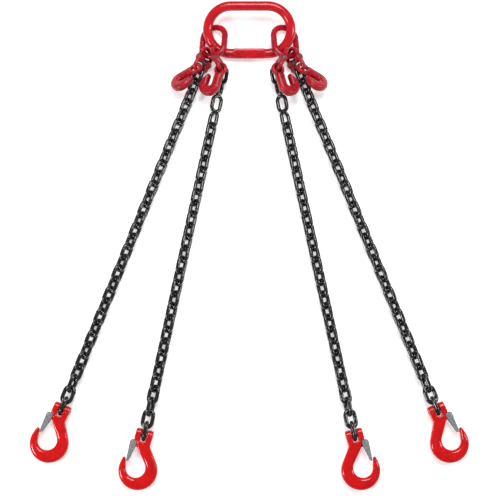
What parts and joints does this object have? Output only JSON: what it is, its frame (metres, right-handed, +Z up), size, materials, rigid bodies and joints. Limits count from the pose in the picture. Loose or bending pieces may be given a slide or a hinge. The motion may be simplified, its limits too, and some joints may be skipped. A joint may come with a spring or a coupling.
{
  "type": "chain sling",
  "caption": "Lifting chain sling with a master link, sub-links, shortening grab hooks, chain legs and clevis sling hooks with latches.",
  "frame": {"origin": "on the floor under the centre of the bounding box", "axes": "+Z up, +Y from the sling hooks towards the master link, +X to the right with the master link at the top"},
  "size_m": [0.8326, 0.9781, 0.053],
  "materials": {
    "master_red": "glossy enamel",
    "link_red": "satin enamel",
    "forged_red": "satin enamel over a forged skin",
    "hook_red": "glossy enamel",
    "chain_black": "black lacquer",
    "zinc": "zinc plated",
    "spring_steel": "bright wire",
    "pin_steel": "oiled"
  },
  "bodies": {
    "master": {"master_link": "master_red"},
    "sub_link_left": {"sub_link_left": "link_red"},
    "sub_link_right": {"sub_link_right": "link_red"},
    "outer_coupling_upper_left": {"outer_coupling_upper_left": "link_red", "outer_coupling_pin_left": "pin_steel", "outer_coupling_sleeve_left": "pin_steel"},
    "outer_coupling_lower_left": {"outer_coupling_lower_left": "link_red"},
    "outer_grab_hook_left": {"outer_grab_hook_left": "forged_red"},
    "outer_chain_upper_left": {"outer_chain_upper_left": "chain_black"},
    "outer_chain_middle_left": {"outer_chain_middle_left": "chain_black"},
    "outer_chain_lower_left": {"outer_chain_lower_left": "chain_black"},
    "outer_hook_left": {"outer_hook_left": "hook_red", "outer_load_pin_left": "pin_steel", "outer_retaining_pin_left": "pin_steel"},
    "outer_latch_left": {"outer_latch_left": "zinc", "outer_latch_rivet_left": "zinc", "outer_latch_spring_left": "spring_steel"},
    "outer_coupling_upper_right": {"outer_coupling_upper_right": "link_red", "outer_coupling_pin_right": "pin_steel", "outer_coupling_sleeve_right": "pin_steel"},
    "outer_coupling_lower_right": {"outer_coupling_lower_right": "link_red"},
    "outer_grab_hook_right": {"outer_grab_hook_right": "forged_red"},
    "outer_chain_upper_right": {"outer_chain_upper_right": "chain_black"},
    "outer_chain_middle_right": {"outer_chain_middle_right": "chain_black"},
    "outer_chain_lower_right": {"outer_chain_lower_right": "chain_black"},
    "outer_hook_right": {"outer_hook_right": "hook_red", "outer_load_pin_right": "pin_steel", "outer_retaining_pin_right": "pin_steel"},
    "outer_latch_right": {"outer_latch_right": "zinc", "outer_latch_rivet_right": "zinc", "outer_latch_spring_right": "spring_steel"},
    "inner_coupling_upper_left": {"inner_coupling_upper_left": "link_red", "inner_coupling_pin_left": "pin_steel", "inner_coupling_sleeve_left": "pin_steel"},
    "inner_coupling_lower_left": {"inner_coupling_lower_left": "link_red"},
    "inner_grab_hook_left": {"inner_grab_hook_left": "forged_red"},
    "inner_chain_upper_left": {"inner_chain_upper_left": "chain_black"},
    "inner_chain_middle_left": {"inner_chain_middle_left": "chain_black"},
    "inner_chain_lower_left": {"inner_chain_lower_left": "chain_black"},
    "inner_hook_left": {"inner_hook_left": "hook_red", "inner_load_pin_left": "pin_steel", "inner_retaining_pin_left": "pin_steel"},
    "inner_latch_left": {"inner_latch_left": "zinc", "inner_latch_rivet_left": "zinc", "inner_latch_spring_left": "spring_steel"},
    "inner_coupling_upper_right": {"inner_coupling_upper_right": "link_red", "inner_coupling_pin_right": "pin_steel", "inner_coupling_sleeve_right": "pin_steel"},
    "inner_coupling_lower_right": {"inner_coupling_lower_right": "link_red"},
    "inner_grab_hook_right": {"inner_grab_hook_right": "forged_red"},
    "inner_chain_upper_right": {"inner_chain_upper_right": "chain_black"},
    "inner_chain_middle_right": {"inner_chain_middle_right": "chain_black"},
    "inner_chain_lower_right": {"inner_chain_lower_right": "chain_black"},
    "inner_hook_right": {"inner_hook_right": "hook_red", "inner_load_pin_right": "pin_steel", "inner_retaining_pin_right": "pin_steel"},
    "inner_latch_right": {"inner_latch_right": "zinc", "inner_latch_rivet_right": "zinc", "inner_latch_spring_right": "spring_steel"}
  },
  "joints": [
    {"name": "sub_link_swing_left", "type": "hinge", "parent": "master", "child": "sub_link_left", "pos_m": [-0.08214, 0.41825, 0.01956], "axis": [-0.3419, 0.8948, 0.2873], "range_deg": [-12, 0.5]},
    {"name": "sub_link_swing_right", "type": "hinge", "parent": "master", "child": "sub_link_right", "pos_m": [0.08214, 0.41825, 0.01956], "axis": [-0.3419, -0.8948, -0.2873], "range_deg": [-12, 0.5]},
    {"name": "outer_coupling_swing_left", "type": "hinge", "parent": "sub_link_left", "child": "outer_coupling_upper_left", "pos_m": [-0.08742, 0.37909, 0.02012], "axis": [-0.7618, 0.5321, -0.3696], "range_deg": [-1, 20]},
    {"name": "outer_coupling_swing_right", "type": "hinge", "parent": "sub_link_right", "child": "outer_coupling_upper_right", "pos_m": [0.08742, 0.37909, 0.02012], "axis": [-0.7618, -0.5321, 0.3696], "range_deg": [-1, 20]},
    {"name": "outer_coupling_fold_left", "type": "hinge", "parent": "outer_coupling_upper_left", "child": "outer_coupling_lower_left", "pos_m": [-0.09297, 0.36637, 0.02035], "axis": [-0.4849, 0.2787, 0.829], "range_deg": [-20, 5]},
    {"name": "outer_coupling_fold_right", "type": "hinge", "parent": "outer_coupling_upper_right", "child": "outer_coupling_lower_right", "pos_m": [0.09297, 0.36637, 0.02035], "axis": [-0.4849, -0.2787, -0.829], "range_deg": [-20, 5]},
    {"name": "outer_grab_hook_swing_left", "type": "hinge", "parent": "outer_coupling_lower_left", "child": "outer_grab_hook_left", "pos_m": [-0.10835, 0.34667, 0.02666], "axis": [-0.4849, 0.2787, 0.829], "range_deg": [-1, 12]},
    {"name": "outer_grab_hook_swing_right", "type": "hinge", "parent": "outer_coupling_lower_right", "child": "outer_grab_hook_right", "pos_m": [0.10835, 0.34667, 0.02666], "axis": [-0.4849, -0.2787, -0.829], "range_deg": [-1, 12]},
    {"name": "outer_chain_swing_left", "type": "hinge", "parent": "outer_coupling_lower_left", "child": "outer_chain_upper_left", "pos_m": [-0.10233, 0.34322, 0.01638], "axis": [-0.4849, 0.2787, 0.829], "range_deg": [-12, 1]},
    {"name": "outer_chain_swing_right", "type": "hinge", "parent": "outer_coupling_lower_right", "child": "outer_chain_upper_right", "pos_m": [0.10233, 0.34322, 0.01638], "axis": [-0.4849, -0.2787, -0.829], "range_deg": [-12, 1]},
    {"name": "outer_chain_middle_bend_left", "type": "hinge", "parent": "outer_chain_upper_left", "child": "outer_chain_middle_left", "pos_m": [-0.19094, 0.10622, 0.01124], "axis": [-0.7175, 0.2683, -0.6428], "range_deg": [-45, 45]},
    {"name": "outer_chain_middle_bend_right", "type": "hinge", "parent": "outer_chain_upper_right", "child": "outer_chain_middle_right", "pos_m": [0.19094, 0.10622, 0.01124], "axis": [-0.7175, -0.2683, 0.6428], "range_deg": [-45, 45]},
    {"name": "outer_chain_lower_bend_left", "type": "hinge", "parent": "outer_chain_middle_left", "child": "outer_chain_lower_left", "pos_m": [-0.27955, -0.13076, 0.01124], "axis": [-0.6021, 0.2251, 0.766], "range_deg": [-45, 45]},
    {"name": "outer_chain_lower_bend_right", "type": "hinge", "parent": "outer_chain_middle_right", "child": "outer_chain_lower_right", "pos_m": [0.27955, -0.13076, 0.01124], "axis": [-0.6021, -0.2251, -0.766], "range_deg": [-45, 45]},
    {"name": "outer_hook_swing_left", "type": "hinge", "parent": "outer_chain_lower_left", "child": "outer_hook_left", "pos_m": [-0.35683, -0.33747, 0.01376], "axis": [-0.9135, 0.4067, 0], "range_deg": [-60, 60]},
    {"name": "outer_hook_swing_right", "type": "hinge", "parent": "outer_chain_lower_right", "child": "outer_hook_right", "pos_m": [0.35683, -0.33747, 0.01376], "axis": [-0.9135, -0.4067, 0], "range_deg": [-60, 60]},
    {"name": "outer_latch_open_left", "type": "hinge", "parent": "outer_hook_left", "child": "outer_latch_left", "pos_m": [-0.37983, -0.34855, 0.01285], "axis": [-0.0191, -0.0428, 0.9989], "range_deg": [0, 25], "stiffness_Nm_per_rad": 0.05, "springref_deg": -11.46},
    {"name": "outer_latch_open_right", "type": "hinge", "parent": "outer_hook_right", "child": "outer_latch_right", "pos_m": [0.37983, -0.34855, 0.01285], "axis": [-0.0191, 0.0428, -0.9989], "range_deg": [0, 25], "stiffness_Nm_per_rad": 0.05, "springref_deg": -11.46},
    {"name": "inner_coupling_swing_left", "type": "hinge", "parent": "sub_link_left", "child": "inner_coupling_upper_left", "pos_m": [-0.07101, 0.37576, 0.02614], "axis": [-0.9481, -0.1851, -0.2585], "range_deg": [-3, 6]},
    {"name": "inner_coupling_swing_right", "type": "hinge", "parent": "sub_link_right", "child": "inner_coupling_upper_right", "pos_m": [0.07101, 0.37576, 0.02614], "axis": [-0.9481, 0.1851, 0.2585], "range_deg": [-3, 6]},
    {"name": "inner_coupling_fold_left", "type": "hinge", "parent": "inner_coupling_upper_left", "child": "inner_coupling_lower_left", "pos_m": [-0.06449, 0.36343, 0.03139], "axis": [-0.2494, -0.0066, 0.9684], "range_deg": [-3, 6]},
    {"name": "inner_coupling_fold_right", "type": "hinge", "parent": "inner_coupling_upper_right", "child": "inner_coupling_lower_right", "pos_m": [0.06449, 0.36343, 0.03139], "axis": [-0.2494, 0.0066, -0.9684], "range_deg": [-3, 6]},
    {"name": "inner_grab_hook_swing_left", "type": "hinge", "parent": "inner_coupling_lower_left", "child": "inner_grab_hook_left", "pos_m": [-0.05704, 0.34056, 0.04089], "axis": [-0.2494, -0.0066, 0.9684], "range_deg": [-5, 5]},
    {"name": "inner_grab_hook_swing_right", "type": "hinge", "parent": "inner_coupling_lower_right", "child": "inner_grab_hook_right", "pos_m": [0.05704, 0.34056, 0.04089], "axis": [-0.2494, 0.0066, -0.9684], "range_deg": [-5, 5]},
    {"name": "inner_chain_swing_left", "type": "hinge", "parent": "inner_coupling_lower_left", "child": "inner_chain_upper_left", "pos_m": [-0.05365, 0.34065, 0.02772], "axis": [-0.2494, -0.0066, 0.9684], "range_deg": [-5, 6]},
    {"name": "inner_chain_swing_right", "type": "hinge", "parent": "inner_coupling_lower_right", "child": "inner_chain_upper_right", "pos_m": [0.05365, 0.34065, 0.02772], "axis": [-0.2494, 0.0066, -0.9684], "range_deg": [-5, 6]},
    {"name": "inner_chain_middle_bend_left", "type": "hinge", "parent": "inner_chain_upper_left", "child": "inner_chain_middle_left", "pos_m": [-0.10383, 0.08955, 0.01172], "axis": [-0.7512, 0.1501, -0.6428], "range_deg": [-45, 45]},
    {"name": "inner_chain_middle_bend_right", "type": "hinge", "parent": "inner_chain_upper_right", "child": "inner_chain_middle_right", "pos_m": [0.10383, 0.08955, 0.01172], "axis": [-0.7512, -0.1501, 0.6428], "range_deg": [-45, 45]},
    {"name": "inner_chain_lower_bend_left", "type": "hinge", "parent": "inner_chain_middle_left", "child": "inner_chain_lower_left", "pos_m": [-0.15448, -0.16394, 0.01172], "axis": [-0.6303, 0.126, 0.766], "range_deg": [-45, 45]},
    {"name": "inner_chain_lower_bend_right", "type": "hinge", "parent": "inner_chain_middle_right", "child": "inner_chain_lower_right", "pos_m": [0.15448, -0.16394, 0.01172], "axis": [-0.6303, -0.126, -0.766], "range_deg": [-45, 45]},
    {"name": "inner_hook_swing_left", "type": "hinge", "parent": "inner_chain_lower_left", "child": "inner_hook_left", "pos_m": [-0.1987, -0.38525, 0.01399], "axis": [-0.969, 0.247, 0], "range_deg": [-60, 60]},
    {"name": "inner_hook_swing_right", "type": "hinge", "parent": "inner_chain_lower_right", "child": "inner_hook_right", "pos_m": [0.1987, -0.38525, 0.01399], "axis": [-0.969, -0.247, 0], "range_deg": [-60, 60]},
    {"name": "inner_latch_open_left", "type": "hinge", "parent": "inner_hook_left", "child": "inner_latch_left", "pos_m": [-0.2195, -0.40005, 0.01303], "axis": [-0.0121, -0.0475, 0.9988], "range_deg": [0, 25], "stiffness_Nm_per_rad": 0.05, "springref_deg": -11.46},
    {"name": "inner_latch_open_right", "type": "hinge", "parent": "inner_hook_right", "child": "inner_latch_right", "pos_m": [0.2195, -0.40005, 0.01303], "axis": [-0.0121, 0.0475, -0.9988], "range_deg": [0, 25], "stiffness_Nm_per_rad": 0.05, "springref_deg": -11.46}
  ]
}
